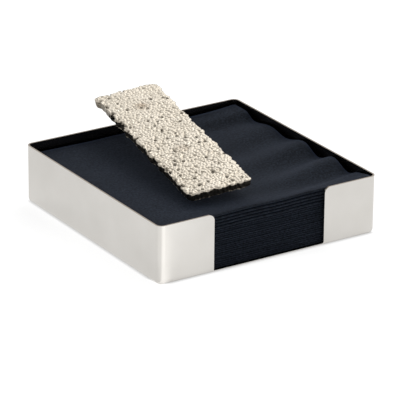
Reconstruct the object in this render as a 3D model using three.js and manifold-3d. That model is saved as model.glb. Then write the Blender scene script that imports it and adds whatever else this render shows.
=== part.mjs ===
// A flat luncheon napkin dispenser: a square metal tray with a finger notch in its front wall, a stack of
// folded napkins, and a heavy bar on a hinged arm that holds the stack down.
// Millimetres, +Z up. The origin is the centre of the tray's underside, and the notch faces -Y.
import * as THREE from "three";
import { mergeVertices } from "three/addons/utils/BufferGeometryUtils.js";
import Module from "manifold-3d";

const wasm = await Module();
wasm.setup();

// Clearance kept between pieces that touch on the real object.
const GAP = 0.3;

// Tray: one pressed sheet.
const TRAY_SIDE = 178;
const TRAY_HEIGHT = 43.1;
const SHEET = 1.2;
const CORNER_RADIUS = 5;
const BEND_RADIUS = 3.5;
const NOTCH_WIDTH = 90;
const NOTCH_FOOT = 1.7;
const NOTCH_FOOT_RADIUS = 1;
const NOTCH_REACH = 6;
const TAB_CORNER_RADIUS = 4.5;

// Napkins: a stack that slopes down to the back, with the top ones less pressed.
const NAPKIN_SIDE = 171.4;
const NAPKIN_COUNT = 24;
const LOOSE_COUNT = 5;
const STACK_CENTRE_Y = -0.3;
const STACK_BASE = SHEET + GAP;
const STACK_TOP_FRONT = 41.3;
const STACK_TOP_BACK = 36.2;
const LOOSE_PITCH_FRONT = 2.3;
const LOOSE_PITCH_BACK = 1.9;

// Hinge: a bracket on the outside of the back wall, and the pin's place.
const PIN = new THREE.Vector3(0, 95, 33);
const PIN_RADIUS = 1.5;
const PIN_HEAD_RADIUS = 2.5;
const PIN_HEAD_LENGTH = 1.2;
const BRACKET_SHEET = 1.2;
const BRACKET_HALF_WIDTH = 17;
const BRACKET_BOTTOM = 20;
const BRACKET_TOP = 38;
const EAR_SHEET = 1.5;
const EAR_INNER = 7.2;
const EAR_RADIUS = 4.2;
const SHELF_REACH = 6;
const SHELF_DROP = 5.5;
const SHELF_SHEET = 1.5;
const BRACKET_RIVET_X = 12.8;
const BRACKET_RIVET_Z = 28;
const BRACKET_RIVET_RADIUS = 1.5;
const BRACKET_RIVET_HEAD_RADIUS = 2.8;
const BRACKET_RIVET_HEAD = 0.8;

// Weight bar, and its resting attitude: turned, rolled and pitched a little from square to the tray.
const BAR_LENGTH = 160;
const BAR_WIDTH = 47;
const BAR_THICKNESS = 6;
const BAR_CORNER_RADIUS = 4;
const BAR_EDGE_RADIUS = 0.8;
const BAR_TOP_CENTRE = new THREE.Vector3(-13.6, 15.6, 57.5);
const BAR_YAW = THREE.MathUtils.degToRad(-7.9);
const BAR_ROLL = THREE.MathUtils.degToRad(-5.5);
const BAR_PITCH = THREE.MathUtils.degToRad(5.9);

// Arm strip under the bar, and the two screws up through it into blind holes in the bar.
// Distances run forward from the bar's rear end.
const ARM_WIDTH = 13;
const ARM_SHEET = 1.6;
const ARM_END = 108;
const BAR_SCREW_REAR = 28;
const BAR_SCREW_FRONT = 98;
const BAR_SCREW_RADIUS = 1.5;
const BAR_SCREW_HEAD_RADIUS = 3;
const BAR_SCREW_HEAD = 1.3;
const BAR_SCREW_DEPTH = 3.6;
const BLIND_HOLE_DEPTH = 4;

function material(color, roughness, metalness) {
  return new THREE.MeshStandardMaterial({ color, roughness, metalness });
}
const nickel = () => material(0xd8d4cc, 0.3, 1);
const warmSilver = () => material(0xcfc6b6, 0.35, 1);
const steel = () => material(0xb9b6b0, 0.4, 1);
const paper = () => material(0x272b34, 0.95, 0);

// A three.js geometry as a solid for booleans, and back again.
function solid(geometry) {
  const bare = geometry.clone();
  bare.deleteAttribute("normal");
  bare.deleteAttribute("uv");
  const merged = mergeVertices(bare, 1e-4);
  return new wasm.Manifold(
    new wasm.Mesh({
      numProp: 3,
      vertProperties: merged.attributes.position.array,
      triVerts: new Uint32Array(merged.index.array),
    }),
  );
}

function geometryOf(made) {
  const mesh = made.getMesh();
  const geometry = new THREE.BufferGeometry();
  geometry.setAttribute("position", new THREE.BufferAttribute(mesh.vertProperties, 3));
  geometry.setIndex(new THREE.BufferAttribute(mesh.triVerts, 1));
  geometry.computeVertexNormals();
  return geometry;
}

function named(name, geometry, look) {
  const mesh = new THREE.Mesh(geometry, look);
  mesh.name = name;
  return mesh;
}

// A rectangle centred on the origin with round corners.
function roundedRectangle(width, depth, radius) {
  const x = width / 2 - radius;
  const y = depth / 2 - radius;
  const shape = new THREE.Shape();
  shape.moveTo(-x, -y - radius);
  shape.lineTo(x, -y - radius);
  shape.absarc(x, -y, radius, -Math.PI / 2, 0);
  shape.lineTo(x + radius, y);
  shape.absarc(x, y, radius, 0, Math.PI / 2);
  shape.lineTo(-x, y + radius);
  shape.absarc(-x, y, radius, Math.PI / 2, Math.PI);
  shape.lineTo(-x - radius, -y);
  shape.absarc(-x, -y, radius, Math.PI, 1.5 * Math.PI);
  return shape;
}

// A box between two corners.
function boxBetween(low, high) {
  const size = high.map((value, i) => value - low[i]);
  return new THREE.BoxGeometry(...size).translate(...low.map((value, i) => value + size[i] / 2));
}

// A cylinder along X, Y or Z between two positions on that axis, centred on `at` in the other two.
function rod(axis, radius, from, to, at, segments = 32) {
  const geometry = new THREE.CylinderGeometry(radius, radius, to - from, segments);
  if (axis === "x") geometry.rotateZ(-Math.PI / 2);
  if (axis === "z") geometry.rotateX(Math.PI / 2);
  const centre = at.clone();
  centre[axis] = (from + to) / 2;
  return geometry.translate(centre.x, centre.y, centre.z);
}

// A shape drawn in (Y, Z) and extruded along X from -halfWidth to +halfWidth.
function extrudeAcross(shape, halfWidth, steps = 6) {
  const geometry = new THREE.ExtrudeGeometry(shape, {
    depth: 2 * halfWidth,
    bevelEnabled: false,
    curveSegments: steps,
  });
  const axes = new THREE.Matrix4().makeBasis(
    new THREE.Vector3(0, 1, 0),
    new THREE.Vector3(0, 0, 1),
    new THREE.Vector3(1, 0, 0),
  );
  return geometry.applyMatrix4(axes).translate(-halfWidth, 0, 0);
}

// A square block with round upright corners and a round bottom edge, flat at the top.
function panBlock(side, cornerRadius, bend, bottom, top) {
  const block = new THREE.ExtrudeGeometry(roundedRectangle(side, side, cornerRadius), {
    depth: top - bottom,
    bevelThickness: bend,
    bevelSize: bend,
    bevelOffset: -bend,
    bevelSegments: 6,
    curveSegments: 8,
  });
  const above = boxBetween([-side, -side, top], [side, side, top + 4 * bend]);
  return solid(block.translate(0, 0, bottom + bend)).subtract(solid(above));
}

// The front notch, drawn in (X, Z): round at its foot and flared round the tabs' top corners.
function notchShape() {
  const half = NOTCH_WIDTH / 2;
  const foot = NOTCH_FOOT;
  const top = TRAY_HEIGHT;
  const r = NOTCH_FOOT_RADIUS;
  const R = TAB_CORNER_RADIUS;
  const shape = new THREE.Shape();
  shape.moveTo(-half + r, foot);
  shape.lineTo(half - r, foot);
  shape.absarc(half - r, foot + r, r, -Math.PI / 2, 0);
  shape.lineTo(half, top - R);
  shape.absarc(half + R, top - R, R, Math.PI, Math.PI / 2, true);
  shape.lineTo(half + R, top + R);
  shape.lineTo(-half - R, top + R);
  shape.lineTo(-half - R, top);
  shape.absarc(-half - R, top - R, R, Math.PI / 2, 0, true);
  shape.lineTo(-half, foot + r);
  shape.absarc(-half + r, foot + r, r, Math.PI, 1.5 * Math.PI);
  return shape;
}

function trayGeometry() {
  const outer = panBlock(TRAY_SIDE, CORNER_RADIUS, BEND_RADIUS, 0, TRAY_HEIGHT);
  const inner = panBlock(
    TRAY_SIDE - 2 * SHEET,
    CORNER_RADIUS - SHEET,
    BEND_RADIUS - SHEET,
    SHEET,
    TRAY_HEIGHT + 2 * SHEET,
  );
  const notch = new THREE.ExtrudeGeometry(notchShape(), {
    depth: 2 * NOTCH_REACH,
    bevelEnabled: false,
    curveSegments: 8,
  });
  notch.rotateX(Math.PI / 2).translate(0, -TRAY_SIDE / 2 + NOTCH_REACH, 0);
  let pan = outer.subtract(inner).subtract(solid(notch));
  for (const side of [-1, 1]) {
    const at = new THREE.Vector3(side * BRACKET_RIVET_X, 0, BRACKET_RIVET_Z);
    const hole = rod("y", BRACKET_RIVET_RADIUS + GAP, TRAY_SIDE / 2 - 3, TRAY_SIDE / 2 + 3, at, 24);
    pan = pan.subtract(solid(hole));
  }
  return geometryOf(pan);
}

// One folded napkin: flat, round at its front fold, and a little thinner at the back.
function napkinGeometry(frontBottom, frontTop, backBottom, backTop) {
  const front = STACK_CENTRE_Y - NAPKIN_SIDE / 2;
  const back = STACK_CENTRE_Y + NAPKIN_SIDE / 2;
  const half = (frontTop - frontBottom) / 2;
  const middle = (frontTop + frontBottom) / 2;
  const shape = new THREE.Shape();
  shape.moveTo(back, backBottom);
  shape.lineTo(back, backTop);
  shape.lineTo(front + half, frontTop);
  shape.absarc(front + half, middle, half, Math.PI / 2, 1.5 * Math.PI);
  return extrudeAcross(shape, NAPKIN_SIDE / 2, 4);
}

function napkins() {
  const group = new THREE.Group();
  const pressedCount = NAPKIN_COUNT - LOOSE_COUNT;
  const pressedPitch = (top, loosePitch) => {
    const pressed = top + GAP - STACK_BASE - LOOSE_COUNT * loosePitch;
    return pressed / pressedCount;
  };
  const frontPitch = pressedPitch(STACK_TOP_FRONT, LOOSE_PITCH_FRONT);
  const backPitch = pressedPitch(STACK_TOP_BACK, LOOSE_PITCH_BACK);
  let front = STACK_BASE;
  let back = STACK_BASE;
  for (let i = 0; i < NAPKIN_COUNT; i += 1) {
    const nextFront = front + (i < pressedCount ? frontPitch : LOOSE_PITCH_FRONT);
    const nextBack = back + (i < pressedCount ? backPitch : LOOSE_PITCH_BACK);
    const name = `napkin_${String(i + 1).padStart(2, "0")}`;
    group.add(named(name, napkinGeometry(front, nextFront - GAP, back, nextBack - GAP), paper()));
    front = nextFront;
    back = nextBack;
  }
  return group;
}

// The bracket's ear, drawn in (Y, Z): straight below the pin and round over it.
function earShape(wallSide) {
  const bottom = PIN.z - SHELF_DROP - SHELF_SHEET;
  const shape = new THREE.Shape();
  shape.moveTo(wallSide, bottom);
  shape.lineTo(PIN.y + SHELF_REACH, bottom);
  shape.lineTo(PIN.y + SHELF_REACH, bottom + SHELF_SHEET);
  shape.lineTo(PIN.y + EAR_RADIUS, PIN.z);
  shape.absarc(PIN.y, PIN.z, EAR_RADIUS, 0, Math.PI / 2);
  shape.lineTo(wallSide, PIN.z + EAR_RADIUS);
  return shape;
}

function bracketGeometry() {
  const wallSide = TRAY_SIDE / 2 + GAP;
  const earOuter = EAR_INNER + EAR_SHEET;
  const plateShape = roundedRectangle(2 * BRACKET_HALF_WIDTH, BRACKET_TOP - BRACKET_BOTTOM, 3);
  const plate = new THREE.ExtrudeGeometry(plateShape, {
    depth: BRACKET_SHEET,
    bevelEnabled: false,
    curveSegments: 5,
  });
  plate.rotateX(Math.PI / 2).translate(0, wallSide + BRACKET_SHEET, (BRACKET_TOP + BRACKET_BOTTOM) / 2);
  const ears = solid(extrudeAcross(earShape(wallSide), earOuter));
  const shelfTop = PIN.z - SHELF_DROP;
  const between = boxBetween(
    [-EAR_INNER, wallSide + BRACKET_SHEET, shelfTop],
    [EAR_INNER, PIN.y + 3 * EAR_RADIUS, PIN.z + 3 * EAR_RADIUS],
  );
  let bracket = solid(plate).add(ears).subtract(solid(between));
  bracket = bracket.subtract(solid(rod("x", PIN_RADIUS + GAP, -2 * earOuter, 2 * earOuter, PIN)));
  for (const side of [-1, 1]) {
    const at = new THREE.Vector3(side * BRACKET_RIVET_X, 0, BRACKET_RIVET_Z);
    const hole = rod("y", BRACKET_RIVET_RADIUS + GAP, wallSide - 2, wallSide + 4, at, 24);
    bracket = bracket.subtract(solid(hole));
  }
  return geometryOf(bracket);
}

// A shank with a domed head at one end and a flatter formed head at the other, turned about Z.
// Its heads bear on the planes z = 0 and z = grip, with the clearance left.
function headedPin(radius, headRadius, headLength, grip) {
  const profile = [
    new THREE.Vector2(0, -headLength),
    new THREE.Vector2(headRadius * 0.55, -headLength * 0.9),
    new THREE.Vector2(headRadius * 0.9, -headLength * 0.5),
    new THREE.Vector2(headRadius, 0),
    new THREE.Vector2(radius, 0),
    new THREE.Vector2(radius, grip),
    new THREE.Vector2(headRadius * 0.85, grip),
    new THREE.Vector2(headRadius * 0.7, grip + headLength * 0.6),
    new THREE.Vector2(0, grip + headLength * 0.7),
  ];
  return new THREE.LatheGeometry(profile, 24).rotateX(Math.PI / 2);
}

function hingePinGeometry() {
  const end = EAR_INNER + EAR_SHEET + GAP;
  const geometry = headedPin(PIN_RADIUS, PIN_HEAD_RADIUS, PIN_HEAD_LENGTH, 2 * end);
  return geometry.rotateY(Math.PI / 2).translate(-end, PIN.y, PIN.z);
}

function bracketRivetGeometry(side) {
  const start = TRAY_SIDE / 2 + GAP + BRACKET_SHEET + GAP;
  const grip = start - (TRAY_SIDE / 2 - SHEET - GAP);
  const geometry = headedPin(BRACKET_RIVET_RADIUS, BRACKET_RIVET_HEAD_RADIUS, BRACKET_RIVET_HEAD, grip);
  return geometry.rotateX(Math.PI / 2).translate(side * BRACKET_RIVET_X, start, BRACKET_RIVET_Z);
}

// The bar's own frame: origin at the centre of its top face, X across it, Y to its rear end, Z up.
const barFrame = new THREE.Matrix4().compose(
  BAR_TOP_CENTRE,
  new THREE.Quaternion().setFromEuler(new THREE.Euler(BAR_PITCH, BAR_ROLL, BAR_YAW, "ZYX")),
  new THREE.Vector3(1, 1, 1),
);
const screwPlaces = [BAR_SCREW_REAR, BAR_SCREW_FRONT].map((forward) => BAR_LENGTH / 2 - forward);

function barGeometry() {
  const slab = new THREE.ExtrudeGeometry(roundedRectangle(BAR_WIDTH, BAR_LENGTH, BAR_CORNER_RADIUS), {
    depth: BAR_THICKNESS - 2 * BAR_EDGE_RADIUS,
    bevelThickness: BAR_EDGE_RADIUS,
    bevelSize: BAR_EDGE_RADIUS,
    bevelOffset: -BAR_EDGE_RADIUS,
    bevelSegments: 3,
    curveSegments: 6,
  });
  let bar = solid(slab.translate(0, 0, -BAR_THICKNESS + BAR_EDGE_RADIUS));
  for (const y of screwPlaces) {
    const roof = BLIND_HOLE_DEPTH - BAR_THICKNESS;
    const hole = rod("z", BAR_SCREW_RADIUS + GAP, -2 * BAR_THICKNESS, roof, new THREE.Vector3(0, y, 0), 24);
    bar = bar.subtract(solid(hole));
  }
  return geometryOf(bar);
}

// A bar screw: a plain shank ending inside the bar's blind hole, and a low head under the arm.
function barScrewGeometry(y) {
  const underArm = -BAR_THICKNESS - GAP - ARM_SHEET - GAP;
  const end = BAR_SCREW_DEPTH - BAR_THICKNESS;
  const profile = [
    new THREE.Vector2(0, underArm - BAR_SCREW_HEAD),
    new THREE.Vector2(BAR_SCREW_HEAD_RADIUS * 0.6, underArm - BAR_SCREW_HEAD * 0.9),
    new THREE.Vector2(BAR_SCREW_HEAD_RADIUS, underArm - BAR_SCREW_HEAD * 0.4),
    new THREE.Vector2(BAR_SCREW_HEAD_RADIUS, underArm),
    new THREE.Vector2(BAR_SCREW_RADIUS, underArm),
    new THREE.Vector2(BAR_SCREW_RADIUS, end - 0.5),
    new THREE.Vector2(BAR_SCREW_RADIUS - 0.5, end),
    new THREE.Vector2(0, end),
  ];
  return new THREE.LatheGeometry(profile, 24).rotateX(Math.PI / 2).translate(0, y, 0);
}

// A strip of rectangular section lofted through stations, each with its centre, its direction across the
// strip and its normal.
function stripGeometry(stations, width, sheet) {
  const corners = [
    [-0.5, -0.5],
    [0.5, -0.5],
    [0.5, 0.5],
    [-0.5, 0.5],
  ];
  const points = [];
  for (const { centre, across, normal } of stations)
    for (const [u, v] of corners)
      points.push(centre.clone().addScaledVector(across, u * width).addScaledVector(normal, v * sheet));
  const index = [0, 1, 2, 0, 2, 3];
  for (let s = 0; s + 1 < stations.length; s += 1)
    for (let c = 0; c < 4; c += 1) {
      const a = 4 * s + c;
      const b = 4 * s + ((c + 1) % 4);
      index.push(a, a + 4, b + 4, a, b + 4, b);
    }
  const last = 4 * (stations.length - 1);
  index.push(last, last + 2, last + 1, last, last + 3, last + 2);
  const geometry = new THREE.BufferGeometry().setFromPoints(points);
  geometry.setIndex(index);
  return geometry;
}

// The arm: a rolled eye on the pin, a riser behind the wall, a bend over the rim, and a straight run
// under the bar. The strip turns from square at the eye to the bar's attitude at the bend.
function armGeometry() {
  const eyeMiddle = PIN_RADIUS + GAP + ARM_SHEET / 2;
  const depthUnderBar = -BAR_THICKNESS - GAP - ARM_SHEET / 2;
  const square = new THREE.Vector3(1, 0, 0);
  const barAcross = new THREE.Vector3().setFromMatrixColumn(barFrame, 0);
  const barRearward = new THREE.Vector3().setFromMatrixColumn(barFrame, 1);
  const underBar = (forward) => {
    const inBar = new THREE.Vector3(0, BAR_LENGTH / 2 - forward, depthUnderBar);
    return inBar.applyMatrix4(barFrame);
  };
  const riserFoot = new THREE.Vector3(0, PIN.y + eyeMiddle, PIN.z);
  const riserTop = new THREE.Vector3(-1.2, PIN.y + eyeMiddle, 49);
  const bendEnd = underBar(10);
  const corner = bendEnd.clone().addScaledVector(barRearward, 11.5);
  const bend = new THREE.QuadraticBezierCurve3(riserTop, corner, bendEnd);
  const centres = [riserFoot, new THREE.Vector3(0, PIN.y + eyeMiddle, 41)];
  const turned = [0, 0];
  const bendSteps = 10;
  for (let i = 0; i <= bendSteps; i += 1) {
    centres.push(bend.getPoint(i / bendSteps));
    turned.push(0.3 + (0.7 * i) / bendSteps);
  }
  centres.push(underBar(ARM_END));
  turned.push(1);
  const stations = centres.map((centre, i) => {
    const before = centres[Math.max(i - 1, 0)];
    const after = centres[Math.min(i + 1, centres.length - 1)];
    const chord = after.clone().sub(before).normalize();
    const along = i === centres.length - 2 ? barRearward.clone().negate() : chord;
    const wanted = square.clone().lerp(barAcross, turned[i]);
    const normal = wanted.clone().cross(along).normalize();
    const across = along.clone().cross(normal).normalize();
    return { centre, across, normal };
  });
  const eye = solid(rod("x", eyeMiddle + ARM_SHEET / 2, -ARM_WIDTH / 2, ARM_WIDTH / 2, PIN));
  const bore = solid(rod("x", PIN_RADIUS + GAP, -ARM_WIDTH, ARM_WIDTH, PIN));
  let arm = solid(stripGeometry(stations, ARM_WIDTH, ARM_SHEET)).add(eye).subtract(bore);
  for (const y of screwPlaces) {
    const reach = 3 * BAR_THICKNESS;
    const hole = rod("z", BAR_SCREW_RADIUS + GAP, -reach, 0, new THREE.Vector3(0, y, 0), 24);
    arm = arm.subtract(solid(hole.applyMatrix4(barFrame)));
  }
  return geometryOf(arm);
}

const dispenser = new THREE.Group();
dispenser.add(
  named("tray", trayGeometry(), nickel()),
  named("hinge_bracket", bracketGeometry(), steel()),
  named("bracket_rivet_left", bracketRivetGeometry(-1), steel()),
  named("bracket_rivet_right", bracketRivetGeometry(1), steel()),
  named("hinge_pin", hingePinGeometry(), steel()),
  napkins(),
  named("tongue_arm", armGeometry(), steel()),
);

const barGroup = new THREE.Group();
barFrame.decompose(barGroup.position, barGroup.quaternion, barGroup.scale);
barGroup.add(
  named("weight_bar", barGeometry(), warmSilver()),
  named("bar_screw_rear", barScrewGeometry(screwPlaces[0]), steel()),
  named("bar_screw_front", barScrewGeometry(screwPlaces[1]), steel()),
);
dispenser.add(barGroup);

export default dispenser;
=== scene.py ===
"""Napkin dispenser: a plated tray of folded napkins under a beaded weight bar on a hinged arm.
The bar and the napkins are worked out in millimetres; everything placed in Blender is in metres."""

import math

import bpy
import numpy as np
from mathutils import Euler, Matrix, Vector


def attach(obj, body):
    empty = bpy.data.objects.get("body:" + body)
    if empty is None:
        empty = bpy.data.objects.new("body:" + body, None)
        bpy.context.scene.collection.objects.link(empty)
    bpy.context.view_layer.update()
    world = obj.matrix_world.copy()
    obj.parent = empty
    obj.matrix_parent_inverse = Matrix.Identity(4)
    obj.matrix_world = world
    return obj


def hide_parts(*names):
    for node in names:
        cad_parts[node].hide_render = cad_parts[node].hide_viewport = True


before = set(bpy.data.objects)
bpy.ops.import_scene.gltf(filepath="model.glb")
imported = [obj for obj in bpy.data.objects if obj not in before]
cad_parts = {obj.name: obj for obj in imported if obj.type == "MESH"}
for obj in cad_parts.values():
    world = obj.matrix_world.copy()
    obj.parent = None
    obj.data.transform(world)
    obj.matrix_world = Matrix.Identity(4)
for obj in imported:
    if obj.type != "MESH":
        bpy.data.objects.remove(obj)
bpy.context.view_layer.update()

MM = 0.001

# ---------------------------------------------------------------- camera
CAMERA_AZIMUTH = math.radians(-32.95)
CAMERA_ELEVATION = math.radians(22.39)
CAMERA_ROLL = math.radians(0.60)
CAMERA_PLACE = Vector((-1.10959, -1.71319, 0.85334))
CAMERA_LENS = 282.9


def make_camera():
    a, e, roll = CAMERA_AZIMUTH, CAMERA_ELEVATION, CAMERA_ROLL
    back = Vector((math.sin(a) * math.cos(e), -math.cos(a) * math.cos(e), math.sin(e)))
    level = Vector((math.cos(a), math.sin(a), 0))
    upright = back.cross(level)
    across = level * math.cos(roll) + upright * math.sin(roll)
    up = upright * math.cos(roll) - level * math.sin(roll)
    data = bpy.data.cameras.new("camera")
    data.lens = CAMERA_LENS
    data.sensor_width = 36
    data.clip_start = 0.05
    data.clip_end = 30
    camera = bpy.data.objects.new("camera", data)
    turn = Matrix((across, up, back)).transposed().to_4x4()
    camera.matrix_world = Matrix.Translation(CAMERA_PLACE) @ turn
    bpy.context.scene.collection.objects.link(camera)
    bpy.context.scene.camera = camera


# ---------------------------------------------------------------- shader helpers
def new_material(name):
    material = bpy.data.materials.new(name)
    material.use_nodes = True
    tree = material.node_tree
    tree.nodes.clear()
    surface = tree.nodes.new("ShaderNodeBsdfPrincipled")
    output = tree.nodes.new("ShaderNodeOutputMaterial")
    tree.links.new(surface.outputs[0], output.inputs["Surface"])
    return material, tree, surface


def plug(tree, socket, value):
    if isinstance(value, bpy.types.NodeSocket):
        tree.links.new(value, socket)
    else:
        socket.default_value = value


def node(tree, kind, settings=None, **inputs):
    made = tree.nodes.new("ShaderNode" + kind)
    for key, value in (settings or {}).items():
        setattr(made, key, value)
    for key, value in inputs.items():
        plug(tree, made.inputs[key.replace("_", " ")], value)
    return made


def math_node(tree, operation, *values):
    made = tree.nodes.new("ShaderNodeMath")
    made.operation = operation
    for socket, value in zip(made.inputs, values):
        plug(tree, socket, value)
    return made.outputs[0]


def noise(tree, where, scale, detail=2.0, roughness=0.5):
    made = node(tree, "TexNoise", Vector=where, Scale=scale, Detail=detail, Roughness=roughness)
    return made.outputs["Fac"]


def remap(tree, value, low, high, to_low, to_high):
    made = node(tree, "MapRange", {"clamp": True}, Value=value)
    for key, number in zip(("From Min", "From Max", "To Min", "To Max"), (low, high, to_low, to_high)):
        plug(tree, made.inputs[key], number)
    return made.outputs[0]


def ramp(tree, value, *stops):
    made = node(tree, "ValToRGB", Fac=value)
    line = made.color_ramp
    for i, (at, colour) in enumerate(stops):
        stop = line.elements[i] if i < 2 else line.elements.new(at)
        stop.position = at
        stop.color = (*colour, 1)
    return made.outputs["Color"]


def mix(tree, factor, first, second, blend="MIX"):
    """Blends two colours. Inputs 0, 6 and 7 of the node are its factor and its two colours."""
    made = node(tree, "Mix", {"data_type": "RGBA", "blend_type": blend})
    plug(tree, made.inputs[0], factor)
    for socket, colour in ((made.inputs[6], first), (made.inputs[7], second)):
        plug(tree, socket, colour if isinstance(colour, bpy.types.NodeSocket) else (*colour, 1))
    return made.outputs[2]


def bump(tree, height, distance, strength=1.0, after=None):
    made = node(tree, "Bump", Height=height, Distance=distance, Strength=strength)
    if after is not None:
        tree.links.new(after, made.inputs["Normal"])
    return made.outputs["Normal"]


def object_coordinates(tree):
    return tree.nodes.new("ShaderNodeTexCoord").outputs["Object"]


# ---------------------------------------------------------------- materials
PAINTED_INNER_WALL_SHADE = (0.17, 0.15, 0.135)
PAINTED_UPWARD_SHADE = (0.20, 0.165, 0.13)
BROWN_MARK = (0.24, 0.175, 0.115)
PAINTED_CREASE_SHADE = (0.43, 0.368, 0.279)
PAINTED_PIT_SHADOW = (0.004, 0.003, 0.002)


def tray_metal():
    """Satin nickel plate, slightly wavy, with a very fine grain: soft cloudy tone outside, painted shade on
    the inner walls in place of their dark reflection, and painted shade that dulls the reflection of faces
    that look up, the cut edge among them."""
    material, tree, surface = new_material("tray_metal")
    where = object_coordinates(tree)
    cloud = noise(tree, where, 22, 3, 0.55)
    tone = ramp(tree, cloud, (0.30, (0.570, 0.550, 0.518)), (0.70, (0.620, 0.602, 0.572)))
    facing = where.node.outputs["Normal"]
    # Inner wall faces look towards the tray's middle and get painted shade; faces that look up, the cut edge
    # among them, get painted shade that dims their reflection.
    outward = node(tree, "VectorMath", {"operation": "DOT_PRODUCT"})
    tree.links.new(where, outward.inputs[0])
    tree.links.new(facing, outward.inputs[1])
    inside = remap(tree, outward.outputs["Value"], -0.080, -0.060, 1.0, 0.0)
    upward = node(tree, "SeparateXYZ", Vector=facing).outputs["Z"]
    cut = remap(tree, upward, 0.45, 0.75, 0.0, 1.0)
    walls = mix(tree, inside, tone, PAINTED_INNER_WALL_SHADE)
    plug(tree, surface.inputs["Base Color"], mix(tree, cut, walls, PAINTED_UPWARD_SHADE))
    surface.inputs["Metallic"].default_value = 1
    plug(tree, surface.inputs["Roughness"], remap(tree, noise(tree, where, 60, 4), 0.3, 0.7, 0.16, 0.22))
    wave = bump(tree, noise(tree, where, 35, 1), 0.0006, 0.35)
    grain = bump(tree, noise(tree, where, 2600, 2), 0.00002, 0.25, wave)
    plug(tree, surface.inputs["Normal"], grain)
    return material


def bar_metal():
    """Warm silver plate over beads, with painted shade in the creases, painted black shadow in the pits and
    on the sides, and two faint brown marks.
    """
    material, tree, surface = new_material("bar_metal")
    where = object_coordinates(tree)
    cloud = noise(tree, where, 45, 3)
    speck = noise(tree, where, 420, 2)
    silver = ramp(tree, cloud, (0.3, (0.525, 0.476, 0.398)), (0.7, (0.590, 0.541, 0.465)))
    bead_tone = ramp(tree, speck, (0.35, (0.80, 0.76, 0.69)), (0.65, (1.0, 1.0, 1.0)))
    toned = mix(tree, 0.35, silver, bead_tone, "MULTIPLY")
    stain = node(tree, "Attribute", {"attribute_name": "stain"}).outputs["Fac"]
    marked = mix(tree, stain, toned, BROWN_MARK)
    painted_hollow_shade = node(tree, "Attribute", {"attribute_name": "painted_hollow_shade"}).outputs["Fac"]
    # Painted shade in the creases, then painted black shadow in the pits and on the sides.
    crease = mix(tree, remap(tree, painted_hollow_shade, 0.0, 0.6, 0.0, 0.42), marked, PAINTED_CREASE_SHADE)
    pitted = mix(tree, remap(tree, painted_hollow_shade, 0.6, 1.0, 0.0, 1.0), crease, PAINTED_PIT_SHADOW)
    plug(tree, surface.inputs["Base Color"], pitted)
    surface.inputs["Metallic"].default_value = 1
    plug(tree, surface.inputs["Roughness"], remap(tree, speck, 0.3, 0.7, 0.30, 0.40))
    plug(tree, surface.inputs["Normal"], bump(tree, noise(tree, where, 1500, 2), 0.00006, 0.4))
    return material


def hinge_metal():
    """Satin plated strip, brushed along its length."""
    material, tree, surface = new_material("hinge_metal")
    where = object_coordinates(tree)
    drawn = node(tree, "Mapping", Vector=where, Scale=(1.0, 0.06, 1.0)).outputs[0]
    streak = noise(tree, drawn, 1400, 3)
    tone = ramp(tree, noise(tree, where, 60, 3), (0.3, (0.50, 0.49, 0.465)), (0.7, (0.60, 0.585, 0.555)))
    plug(tree, surface.inputs["Base Color"], tone)
    surface.inputs["Metallic"].default_value = 1
    plug(tree, surface.inputs["Roughness"], remap(tree, streak, 0.3, 0.7, 0.24, 0.40))
    plug(tree, surface.inputs["Normal"], bump(tree, streak, 0.00003, 0.5))
    return material


def fixing_metal():
    """Plain turned steel."""
    material, tree, surface = new_material("fixing_metal")
    where = object_coordinates(tree)
    tone = ramp(tree, noise(tree, where, 500, 3), (0.3, (0.44, 0.43, 0.41)), (0.7, (0.56, 0.545, 0.52)))
    plug(tree, surface.inputs["Base Color"], tone)
    surface.inputs["Metallic"].default_value = 1
    plug(tree, surface.inputs["Roughness"], remap(tree, noise(tree, where, 900, 2), 0.3, 0.7, 0.22, 0.36))
    plug(tree, surface.inputs["Normal"], bump(tree, noise(tree, where, 2200, 2), 0.00003, 0.4))
    return material


def napkin_paper():
    """Soft dark blue-grey napkin stock with a fine woven emboss and fibres."""
    material, tree, surface = new_material("napkin_paper")
    where = object_coordinates(tree)
    cloud = noise(tree, where, 30, 3)
    fibre = noise(tree, where, 1300, 3, 0.7)
    tone = ramp(tree, cloud, (0.3, (0.0058, 0.0081, 0.0124)), (0.7, (0.0090, 0.0121, 0.0180)))
    both = math_node(tree, "ADD", fibre, noise(tree, where, 640, 2))
    fluff = math_node(tree, "MULTIPLY", both, 0.5)
    lint = ramp(tree, fluff, (0.425, (0.32, 0.33, 0.35)), (0.585, (1.82, 1.79, 1.74)))
    plug(tree, surface.inputs["Base Color"], mix(tree, 1.0, tone, lint, "MULTIPLY"))
    plug(tree, surface.inputs["Roughness"], remap(tree, fibre, 0.3, 0.7, 0.80, 0.95))
    surface.inputs["Specular IOR Level"].default_value = 0.12
    surface.inputs["Sheen Weight"].default_value = 0.072
    surface.inputs["Sheen Roughness"].default_value = 0.45
    surface.inputs["Sheen Tint"].default_value = (0.42, 0.58, 1.0, 1)
    threads = []
    for direction in ("X", "Y"):
        wave = node(
            tree, "TexWave", {"bands_direction": direction},
            Vector=where, Scale=150, Distortion=1.2, Detail_Scale=300,
        )
        threads.append(wave.outputs["Fac"])
    weave = math_node(tree, "MULTIPLY", *threads)
    plug(tree, surface.inputs["Normal"], bump(tree, fibre, 0.00008, 0.4, bump(tree, weave, 0.00005, 0.5)))
    return material


# The floor's glow is laid out in metres. TRAY_HALF is half the tray's side.
TRAY_HALF = 0.089
FLOOR_GLOW = 0.78
CORNER_GLOW = 0.44
TAB_GLOW = 0.12
WALL_LOSS = 0.10
CONTACT_LOSS = 0.40
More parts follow.
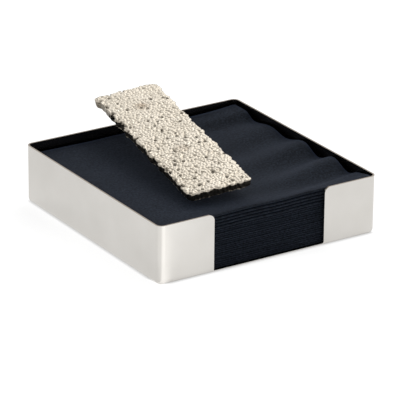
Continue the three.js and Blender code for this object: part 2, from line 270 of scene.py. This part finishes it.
# The fan's left side fades between these angles from the left wall's line. Its right side fades between
# two slanting lines, FAN_SLANT giving how much of x and of y they add up.
FAN_ANGLES = (math.radians(5), math.radians(38))
FAN_SLANT = (0.85, 0.53)
FAN_LINES = (-0.1186, -0.1136)
SOFT_EDGE = 0.01
TAB_FADE = (-0.02, 0.04)
WALL_FADE = (0.0, 0.12)
CONTACT_FADE = (TRAY_HALF - 0.003, TRAY_HALF + 0.0005)


def floor_glow(tree, where):
    """Glow of the floor, painted light: even, but for what the tray's walls mirror. It is brighter in a fan
    off the tray's near corner and in front of its left tab, painted light that the walls mirror as
    highlights, and dimmer under the tray and beside the far end of its left wall, painted shadow."""
    split = node(tree, "SeparateXYZ", Vector=where)
    x, y = split.outputs["X"], split.outputs["Y"]
    left = math_node(tree, "SUBTRACT", -TRAY_HALF, x)
    ahead = math_node(tree, "SUBTRACT", -TRAY_HALF, y)

    closing = remap(tree, math_node(tree, "ARCTAN2", left, ahead), *FAN_ANGLES, 1.0, 0.0)
    slant = [math_node(tree, "MULTIPLY", axis, share) for axis, share in zip((x, y), FAN_SLANT)]
    opening = remap(tree, math_node(tree, "ADD", *slant), *FAN_LINES, 1.0, 0.0)
    fan = math_node(tree, "MULTIPLY", math_node(tree, "MULTIPLY", opening, closing), CORNER_GLOW)

    in_front = remap(tree, ahead, 0.0, SOFT_EDGE, 0.0, 1.0)
    tab = math_node(tree, "MULTIPLY", in_front, remap(tree, x, *TAB_FADE, TAB_GLOW, 0.0))
    beside = remap(tree, left, 0.0, SOFT_EDGE, 0.0, 1.0)
    wall = math_node(tree, "MULTIPLY", beside, remap(tree, y, *WALL_FADE, 0.0, -WALL_LOSS))
    reach = math_node(tree, "MAXIMUM", math_node(tree, "ABSOLUTE", x), math_node(tree, "ABSOLUTE", y))
    # Painted contact shadow round the tray's foot.
    painted_contact_shadow = remap(tree, reach, *CONTACT_FADE, -CONTACT_LOSS, 0.0)

    gained = math_node(tree, "ADD", fan, tab)
    lost = math_node(tree, "ADD", wall, painted_contact_shadow)
    return math_node(tree, "ADD", math_node(tree, "ADD", gained, lost), FLOOR_GLOW)


def floor_white():
    material, tree, surface = new_material("floor_white")
    where = object_coordinates(tree)
    tone = ramp(tree, noise(tree, where, 3, 2), (0.3, (0.43, 0.43, 0.43)), (0.7, (0.45, 0.45, 0.45)))
    plug(tree, surface.inputs["Base Color"], tone)
    surface.inputs["Roughness"].default_value = 0.9
    surface.inputs["Specular IOR Level"].default_value = 0.1
    surface.inputs["Emission Color"].default_value = (1, 1, 1, 1)
    plug(tree, surface.inputs["Emission Strength"], floor_glow(tree, where))
    return material


# ---------------------------------------------------------------- mesh helpers
def mesh_object(name, points, faces, material):
    """Points in millimetres as an (n, 3) array, and faces as rows of indices."""
    mesh = bpy.data.meshes.new(name)
    mesh.from_pydata((np.asarray(points, float) * MM).tolist(), [], np.asarray(faces).tolist())
    mesh.validate()
    mesh.materials.append(material)
    mesh.shade_smooth()
    made = bpy.data.objects.new(name, mesh)
    bpy.context.scene.collection.objects.link(made)
    return made


def sharpen_loop(mesh, corners):
    """Marks the edges that join two of these vertices as sharp."""
    sharp = [edge.vertices[0] in corners and edge.vertices[1] in corners for edge in mesh.edges]
    layer = mesh.attributes.new("sharp_edge", "BOOLEAN", "EDGE")
    layer.data.foreach_set("value", sharp)


def grid_faces(rows, columns, start=0, flip=False):
    """Quads of a grid of rows by columns points, numbered row by row."""
    index = np.arange(rows * columns).reshape(rows, columns) + start
    quads = np.stack([index[:-1, :-1], index[:-1, 1:], index[1:, 1:], index[1:, :-1]], -1).reshape(-1, 4)
    return quads[:, ::-1] if flip else quads


def smoothstep(value, low, high):
    t = np.clip((value - low) / (high - low), 0, 1)
    return t * t * (3 - 2 * t)


def wobble(rng, x, y, wavelength, waves=6):
    """Smooth seeded noise of about unit height, from waves in random directions."""
    total = np.zeros(np.broadcast(x, y).shape)
    for _ in range(waves):
        angle, phase = rng.uniform(0, 2 * math.pi, 2)
        length = wavelength * rng.uniform(0.7, 1.5)
        along = np.cos(angle) * x + np.sin(angle) * y
        total = total + np.sin(2 * math.pi * along / length + phase)
    return total / math.sqrt(waves)


# ---------------------------------------------------------------- weight bar
BAR_HALF_WIDTH = 23.5
BAR_HALF_LENGTH = 80.0
BAR_THICKNESS = 6.0
BAR_CORNER = 4.0
BAR_COLUMNS = 108
BAR_ROWS = 368
BAR_FRAME = Matrix.LocRotScale(
    Vector((-13.6, 15.6, 57.5)) * MM,
    Euler((math.radians(5.9), math.radians(-5.5), math.radians(-7.9)), "XYZ"),
    None,
)
# Scallops of the outline: pitch and height of the lumps, then wavelength and height of the drift under them.
SIDE_SCALLOPS = (4.4, 2.2, 18, 0.60)
END_SCALLOPS = (3.8, 2.2, 14, 0.45)
SCALLOP_MEAN = 1.1
SCALLOP_FADE = 2.0
# How far the sides lean in towards the underside, how much painted shade darkens them in place of their dark
# reflection, where the rings of points run on them, and about how far apart the points of a ring are.
SIDE_LEAN = 0.8
SIDE_SHADE = 0.84
SIDE_RINGS = (0.05, 0.2, 0.4, 0.6, 0.8, 0.95)
SIDE_STEP = 0.44
BEAD_PITCH = 2.35
BEAD_ROW_SHARE = 0.87
BEAD_JITTER = 0.7
BEAD_RADIUS = (1.45, 2.3)
BEAD_TOP = (-0.25, 0.0)
BEAD_FLOOR = -1.5
BEAD_BLEND = 0.2
BEAD_RELIEF = 0.66
LARGEST_REACH = 2.4
PIT_COUNT = 56
EDGE_PIT_COUNT = 30
EDGE_PIT_INSET = (0.2, 2.4)
PIT_SIZE = (0.88, 1.15)
PIT_STRETCH = 1.5
PIT_DEPTH = 1.6
# Brown marks: (u, v, size, strength).
STAINS = ((0.5, 52.0, 4.6, 0.75), (0.5, -18.0, 4.6, 0.45))


def scallops(rng, along, pitch, height, drift_length, drift):
    """How far each place along an edge is pushed out: round lumps at uneven pitch, on a slow drift."""
    centres = np.arange(along.min() - pitch, along.max() + pitch, pitch)
    centres = centres + rng.uniform(-0.3, 0.3, len(centres)) * pitch
    tall = rng.uniform(0.3, 1.0, len(centres)) * height
    near = np.abs(along[:, None] - centres[None, :]) / (0.75 * pitch)
    lumps = (tall * np.clip(1 - near**2, 0, 1)).max(1)
    return lumps + drift * wobble(rng, along, 0, drift_length, 4) - SCALLOP_MEAN


def bar_outline(rng):
    """The bar's face in plan: u across and v along at each grid point, and half the width of each row."""
    s = np.linspace(-1, 1, BAR_COLUMNS + 1)
    v_line = np.linspace(-1, 1, BAR_ROWS + 1) * BAR_HALF_LENGTH
    over = np.clip(np.abs(v_line) - (BAR_HALF_LENGTH - BAR_CORNER), 0, BAR_CORNER)
    half = (BAR_HALF_WIDTH - BAR_CORNER + np.sqrt(BAR_CORNER**2 - over**2))[:, None]
    sides = [scallops(rng, v_line, *SIDE_SCALLOPS) for _ in range(2)]
    ends = [scallops(rng, s * BAR_HALF_WIDTH, *END_SCALLOPS) for _ in range(2)]
    u = s[None, :] * half
    v = np.broadcast_to(v_line[:, None], u.shape).copy()
    # The scallops push the face's edges out and die away inwards.
    for sign, push in zip((-1, 1), sides):
        u += sign * push[:, None] * np.exp(-(half - sign * u) / SCALLOP_FADE)
    for sign, push in zip((-1, 1), ends):
        v += sign * push[None, :] * np.exp(-(BAR_HALF_LENGTH - sign * v) / SCALLOP_FADE)
    return u, v, half


def rows_near(v):
    """The grid rows that a bead or a pit at v can reach."""
    row_pitch = 2 * BAR_HALF_LENGTH / BAR_ROWS
    reach = int(LARGEST_REACH / row_pitch) + 1
    middle = int((v + BAR_HALF_LENGTH) / row_pitch)
    return slice(*np.clip((middle - reach, middle + reach + 1), 0, BAR_ROWS + 1))


def bead_heights(rng, u, v):
    """Height of the fused beads over the grid. They lie in uneven rows, each shifted by half a bead."""
    height = np.full(u.shape, BEAD_FLOOR)
    rows = int(2 * BAR_HALF_LENGTH / (BEAD_PITCH * BEAD_ROW_SHARE)) + 3
    columns = int(2 * BAR_HALF_WIDTH / BEAD_PITCH) + 3
    for row in range(rows):
        for column in range(columns):
            x = (column - columns / 2 + 0.5 * (row % 2)) * BEAD_PITCH
            y = (row - rows / 2) * BEAD_PITCH * BEAD_ROW_SHARE
            x += rng.uniform(-BEAD_JITTER, BEAD_JITTER)
            y += rng.uniform(-BEAD_JITTER, BEAD_JITTER)
            radius = rng.uniform(*BEAD_RADIUS)
            top = rng.uniform(*BEAD_TOP)
            near = rows_near(y)
            away = (u[near] - x) ** 2 + (v[near] - y) ** 2
            cap = top - radius + np.sqrt(np.clip(radius**2 - away, 0, None))
            cap = np.where(away < radius**2, cap, -9)
            # A soft maximum, so that neighbours run together instead of meeting in a crease.
            old = height[near]
            gap = np.clip(0.5 + (cap - old) / BEAD_BLEND, 0, 1)
            height[near] = old + (cap - old) * gap + BEAD_BLEND / 2 * gap * (1 - gap)
    return height


def pit_depths(rng, u, v):
    """How deep in a pit each point of the grid is, from 0 to 1. The last pits lie along the left edge."""
    pits = np.zeros(u.shape)
    for pit in range(PIT_COUNT + EDGE_PIT_COUNT):
        x = BAR_HALF_WIDTH * (2 * rng.beta(1.0, 1.6) - 1) * 0.97
        y = rng.uniform(-BAR_HALF_LENGTH + 1, BAR_HALF_LENGTH - 1)
        if pit >= PIT_COUNT:
            x = -BAR_HALF_WIDTH + rng.uniform(*EDGE_PIT_INSET)
        size = rng.uniform(*PIT_SIZE)
        near = rows_near(y)
        away = (u[near] - x) ** 2 + ((v[near] - y) / PIT_STRETCH) ** 2
        pits[near] = np.maximum(pits[near], smoothstep(1 - np.sqrt(away) / size, 0, 0.45))
    return pits


def bar_face(rng, u, v, inside):
    """Height, painted shade of the creases and pits, and strength of the brown marks at each point of the
    face.
    """
    height = bead_heights(rng, u, v)
    pits = pit_depths(rng, u, v)
    height += 0.12 * wobble(rng, u, v, 30)
    # Towards the rear the plate has filled the creases more: the beads stand lower, and the painted crease
    # shade is weaker.
    filled = smoothstep(v, -10, 70)
    painted_hollow_shade = smoothstep(-height, 0.35, 0.95) * 0.6 * (1 - 0.45 * filled)
    height *= BEAD_RELIEF * (1 - 0.30 * filled)
    height -= 0.5 * np.clip(1 - inside / 0.9, 0, 1) ** 2
    height -= PIT_DEPTH * pits
    # The pits get painted black shadow.
    painted_hollow_shade = np.maximum(painted_hollow_shade, np.clip(2.2 * pits, 0, 1))
    stain = np.zeros(u.shape)
    for x, y, size, strength in STAINS:
        ragged = 1 + 0.35 * wobble(rng, u, v, 5)
        stain += strength * np.exp(-((u - x) ** 2 + (v - y) ** 2) / size**2) * np.clip(ragged, 0, 2)
    return height, painted_hollow_shade, stain


def side_rings(rng, edge, bottom_z):
    """Rings of points down the sides, from the face's edge to just above the underside."""
    outward = np.roll(edge, -1, 0) - np.roll(edge, 1, 0)
    outward = np.stack([outward[:, 1], -outward[:, 0]], -1)
    outward /= np.linalg.norm(outward, axis=1)[:, None]
    around = np.arange(len(edge)) * SIDE_STEP
    rings = []
    for part in SIDE_RINGS:
        # The sides are fluted where the beads ran down them.
        flutes = 0.35 * wobble(rng, around, 9.0 * part, 4.5, 5) * math.sin(math.pi * part)
        ring = edge.copy()
        ring[:, :2] += outward * (-SIDE_LEAN * part + flutes)[:, None]
        ring[:, 2] = edge[:, 2] + (bottom_z - edge[:, 2]) * part
        rings.append(ring)
    return rings


def make_bar(material):
    """The bar: a beaded face, an underside on a like grid, and rings of points down the sides."""
    rng = np.random.default_rng(11)
    columns, rows = BAR_COLUMNS + 1, BAR_ROWS + 1
    u, v, half = bar_outline(rng)
    inside = np.minimum(half - np.abs(u), BAR_HALF_LENGTH - np.abs(v))
    height, painted_hollow_shade, stain = bar_face(rng, u, v, inside)
    top = np.stack([u, v, height], -1).reshape(-1, 3)
    under = -BAR_THICKNESS + 0.06 * wobble(rng, u, v, 7) + 0.5 * np.clip(1 - inside / 0.8, 0, 1) ** 2
    lean_u, lean_v = 1 - SIDE_LEAN / BAR_HALF_WIDTH, 1 - SIDE_LEAN / BAR_HALF_LENGTH
    bottom = np.stack([u * lean_u, v * lean_v, under], -1).reshape(-1, 3)

    index = np.arange(rows * columns).reshape(rows, columns)
    rim = np.concatenate([index[0, :-1], index[:-1, -1], index[-1, :0:-1], index[:0:-1, 0]])
    rings = side_rings(rng, top[rim], under.reshape(-1)[rim])
    start = len(top) + len(rim) * len(rings)
    side_rows = [rim]
    side_rows += [np.arange(len(rim)) + len(top) + len(rim) * i for i in range(len(rings))]
    side_rows.append(rim + start)

    faces = [grid_faces(rows, columns), grid_faces(rows, columns, start, flip=True)]
    for upper, lower in zip(side_rows[:-1], side_rows[1:]):
        faces.append(np.stack([upper, lower, np.roll(lower, -1), np.roll(upper, -1)], -1))
    points = np.concatenate([top, *rings, bottom])
    made = mesh_object("weight_bar_beaded", points, np.concatenate(faces), material)
    sharpen_loop(made.data, set((rim + start).tolist()))
    for name, values, beside in (("painted_hollow_shade", painted_hollow_shade, SIDE_SHADE), ("stain", stain, 0.0)):
        full = np.zeros(len(points), np.float32)
        full[: len(top)] = values.reshape(-1)
        # The sides get painted shade in place of their dark reflection.
        full[len(top) : start] = beside
        layer = made.data.attributes.new(name, "FLOAT", "POINT")
        layer.data.foreach_set("value", full)
    made.matrix_world = BAR_FRAME
    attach(made, "tongue")
    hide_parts("weight_bar")
    return made


# ---------------------------------------------------------------- napkins
NAPKIN_SIDE = 171.4
NAPKIN_COUNT = 24
LOOSE_COUNT = 5
STACK_FRONT = -86.0
STACK_LEFT = -85.7
STACK_RIGHT = STACK_LEFT + NAPKIN_SIDE
STACK_BASE = 1.5
TOP_FRONT = 41.3
TOP_BACK = 36.2
# Height of a loose napkin at the front and at the back.
LOOSE_PITCH = (2.3, 1.9)
# Thickness of a sheet, and the height kept free between two napkins' shares of the stack, where they are
# pressed and where they are loose.
PRESSED_PAPER, LOOSE_PAPER = 0.14, 0.30
PRESSED_SPARE, LOOSE_SPARE = 0.16, 0.50
# How far the weight has pressed the middle of the top napkins down.
SAG = 2.2
# How far the top napkin's right edge stands off its flat slope, from front to back: (y, height).
RIPPLE = (
    (-92.0, 0.0), (-84.0, -0.6), (-72.0, -2.0), (-60.0, -5.6), (-41.0, 0.4), (-23.0, -5.6), (-4.0, 0.9),
    (18.0, -3.0), (38.0, 0.4), (59.0, -2.1), (72.0, 3.0), (92.0, 3.8),
)


def ripple(y):
    """The right edge's ripple at y: the table's points joined by half cosines."""
    ys = np.array([p[0] for p in RIPPLE])
    zs = np.array([p[1] for p in RIPPLE])
    y = np.clip(y, ys[0], ys[-1])
    i = np.clip(np.searchsorted(ys, y) - 1, 0, len(ys) - 2)
    t = (y - ys[i]) / (ys[i + 1] - ys[i])
    return zs[i] + (zs[i + 1] - zs[i]) * (1 - np.cos(math.pi * t)) / 2


def top_relief(x, y):
    """How far the top of the stack stands off a plane."""
    inward = STACK_RIGHT - x
    skew = 0.17 * (1 - smoothstep(y, 20, 55)) + 0.08 * (1 - smoothstep(y, -45, -5))
    fade = np.clip((x + 5) / 90.7, 0, 1) ** 1.2
    rise = (85.5 - y) / 171.5 * 1.3 * smoothstep(x, -50, 80)
    soft = 0.30 * wobble(np.random.default_rng(5), x, y, 60) * smoothstep(x, -95, -20)
    # The middle is pressed down, so the front edge turns up to a narrow band.
    sunk = smoothstep(inward, 0, 48) * smoothstep(x, -88, -30)
    sunk = sunk * smoothstep(y, -86, -62) * smoothstep(-y, -84, -30)
    return ripple(y + skew * inward) * fade + rise + soft - SAG * sunk


def level_heights():
    """Heights of the faces between napkins at the front and at the back, from the tray's floor up."""
    pressed = NAPKIN_COUNT - LOOSE_COUNT
    ends = []
    for top, loose in zip((TOP_FRONT, TOP_BACK), LOOSE_PITCH):
        pitch = (top + 0.3 - STACK_BASE - LOOSE_COUNT * loose) / pressed
        ends.append(STACK_BASE + np.cumsum([0] + [pitch] * pressed + [loose] * LOOSE_COUNT))
    return ends


LEVEL_FRONT, LEVEL_BACK = level_heights()


def level(i, x, y):
    """Height of face i of the stack: 0 is under the first napkin and NAPKIN_COUNT is over the last."""
    share = np.clip((y - STACK_FRONT) / NAPKIN_SIDE, -0.05, 1.05)
    flat = LEVEL_FRONT[i] + (LEVEL_BACK[i] - LEVEL_FRONT[i]) * share
    return flat + top_relief(x, y) * (i / NAPKIN_COUNT) ** 2.5


def fold_line(flat_count, arc_count):
    """Positions along a sheet that is folded in two: (share of the half length, turn). They run from the
    lower layer's free edge, round the fold, to the upper layer's. turn runs from -1 to 1 round the fold."""
    out = [(i / flat_count, -1.0) for i in range(flat_count, 0, -1)]
    out += [(0.0, math.sin(math.pi * (i / arc_count - 0.5))) for i in range(arc_count + 1)]
    out += [(i / flat_count, 1.0) for i in range(1, flat_count + 1)]
    return np.array(out)


def make_napkin(i, material):
    """Napkin i, counted from 1 at the bottom: one sheet folded at the left and then at the front."""
    rng = np.random.default_rng(100 + i)
    loose = i > NAPKIN_COUNT - LOOSE_COUNT
    across = fold_line(44 if loose else 12, 6)
    along = fold_line(52 if loose else 10, 8)
    slide = rng.uniform(-0.35, 0.35, 2) if i < NAPKIN_COUNT else np.zeros(2)
    turn = rng.uniform(-0.0025, 0.0025) if i < NAPKIN_COUNT else 0.0
    paper, spare = (LOOSE_PAPER, LOOSE_SPARE) if loose else (PRESSED_PAPER, PRESSED_SPARE)
    thick = LEVEL_FRONT[i] - LEVEL_FRONT[i - 1] - spare
    # A napkin's share of the stack is 8 g high. Its four layers lie 3 g and 1 g under and over the middle.
    g = thick / 8
    # First fold, at the left: s is the layer, -1 inner to 1 outer.
    s = across[:, 1]
    x = STACK_LEFT + g * (1 - np.sqrt(np.clip(1 - s**2, 0, 1))) + across[:, 0] * (NAPKIN_SIDE - g)
    # Second fold, at the front: the inner and outer layers turn about one centre.
    turn_sin = along[:, 1]
    turn_cos = np.sqrt(np.clip(1 - turn_sin**2, 0, 1))
    radius = (2 + s)[:, None]
    y = STACK_FRONT + 3 * g - radius * g * turn_cos[None, :] + along[None, :, 0] * (NAPKIN_SIDE - 3 * g)
    x = np.broadcast_to(x[:, None], y.shape)
    # Each napkin lies a little off its neighbours, turned about the stack's middle.
    xc, yc = x, y - (STACK_FRONT + NAPKIN_SIDE / 2)
    x = xc * math.cos(turn) - yc * math.sin(turn) + slide[0]
    y = xc * math.sin(turn) + yc * math.cos(turn) + slide[1] + STACK_FRONT + NAPKIN_SIDE / 2
    bottom = level(i - 1, x, y) + spare / 2
    top = level(i, x, y) - spare / 2
    z = (bottom + top) / 2 + radius / 8 * (top - bottom) * turn_sin[None, :]
    points = np.stack([x, y, z], -1).reshape(-1, 3)
    name = f"napkin_{i:02d}"
    made = mesh_object(name + "_folded", points, grid_faces(len(across), len(along)), material)
    shell = made.modifiers.new("thickness", "SOLIDIFY")
    shell.thickness = paper * MM
    shell.offset = 0
    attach(made, "tray_body")
    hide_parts(name)
    return made


# ---------------------------------------------------------------- CAD nodes that stay
# Material and width of the softened edges, in millimetres.
CAD_FINISH = {
    "tray": ("tray_metal", 0.28),
    "hinge_bracket": ("hinge_metal", 0.22),
    "tongue_arm": ("hinge_metal", 0.22),
    "bracket_rivet_left": ("fixing_metal", 0.12),
    "bracket_rivet_right": ("fixing_metal", 0.12),
    "hinge_pin": ("fixing_metal", 0.12),
    "bar_screw_rear": ("fixing_metal", 0.12),
    "bar_screw_front": ("fixing_metal", 0.12),
}


def finish_cad_node(name, material, edge):
    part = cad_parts[name]
    if part.material_slots:
        for holder in part.material_slots:
            holder.material = material
    else:
        part.data.materials.append(material)
    weld = part.modifiers.new("weld", "WELD")
    weld.merge_threshold = 5e-6
    bevel = part.modifiers.new("edges", "BEVEL")
    bevel.width = edge * MM
    bevel.segments = 2
    bevel.limit_method = "ANGLE"
    bevel.angle_limit = math.radians(40)
    bevel.harden_normals = True
    normals = part.modifiers.new("normals", "WEIGHTED_NORMAL")
    normals.keep_sharp = True


# ---------------------------------------------------------------- floor and light
FLOOR_HALF = 6.0
WORLD_STRENGTH = 0.60
# Lamps: name, place, aim, width and height, radiance.
LAMPS = (
    ("back_wall", (0.85, 1.30, 0.75), (0, 0, 0.1), (1.7, 1.3), 0.78),
    ("key", (0.92, 0.34, 1.15), (0, 0, 0.03), (1.1, 0.8), 1.75),
    ("glint", (0.75, 1.05, 1.15), (0, 0, 0.05), (0.16, 0.16), 7.0),
)


def make_floor():
    mesh = bpy.data.meshes.new("floor")
    ring = [(FLOOR_HALF * x, FLOOR_HALF * y, 0) for x, y in ((-1, -1), (1, -1), (1, 1), (-1, 1))]
    mesh.from_pydata(ring, [], [(0, 1, 2, 3)])
    mesh.materials.append(floor_white())
    floor = bpy.data.objects.new("floor", mesh)
    bpy.context.scene.collection.objects.link(floor)


def area_light(name, place, aim, size, radiance):
    """A soft rectangular lamp of that width and height in metres, turned towards aim."""
    data = bpy.data.lights.new(name, "AREA")
    data.shape = "RECTANGLE"
    data.size, data.size_y = size
    data.energy = radiance * math.pi * size[0] * size[1]
    lamp = bpy.data.objects.new(name, data)
    lamp.location = place
    lamp.rotation_euler = (Vector(aim) - Vector(place)).to_track_quat("-Z", "Y").to_euler()
    lamp.visible_camera = False
    bpy.context.scene.collection.objects.link(lamp)


def make_light():
    world = bpy.data.worlds.new("studio")
    world.use_nodes = True
    background = world.node_tree.nodes["Background"]
    background.inputs["Color"].default_value = (1, 1, 1, 1)
    background.inputs["Strength"].default_value = WORLD_STRENGTH
    bpy.context.scene.world = world
    for lamp in LAMPS:
        area_light(*lamp)
    view = bpy.context.scene.view_settings
    view.view_transform = "Standard"
    view.look = "None"


make_camera()
make_floor()
make_light()
MAKERS = (tray_metal, bar_metal, hinge_metal, fixing_metal, napkin_paper)
MATERIALS = {make.__name__: make() for make in MAKERS}
for node_name, (finish_name, edge_width) in CAD_FINISH.items():
    finish_cad_node(node_name, MATERIALS[finish_name], edge_width)
make_bar(MATERIALS["bar_metal"])
for count in range(1, NAPKIN_COUNT + 1):
    napkin = make_napkin(count, MATERIALS["napkin_paper"])
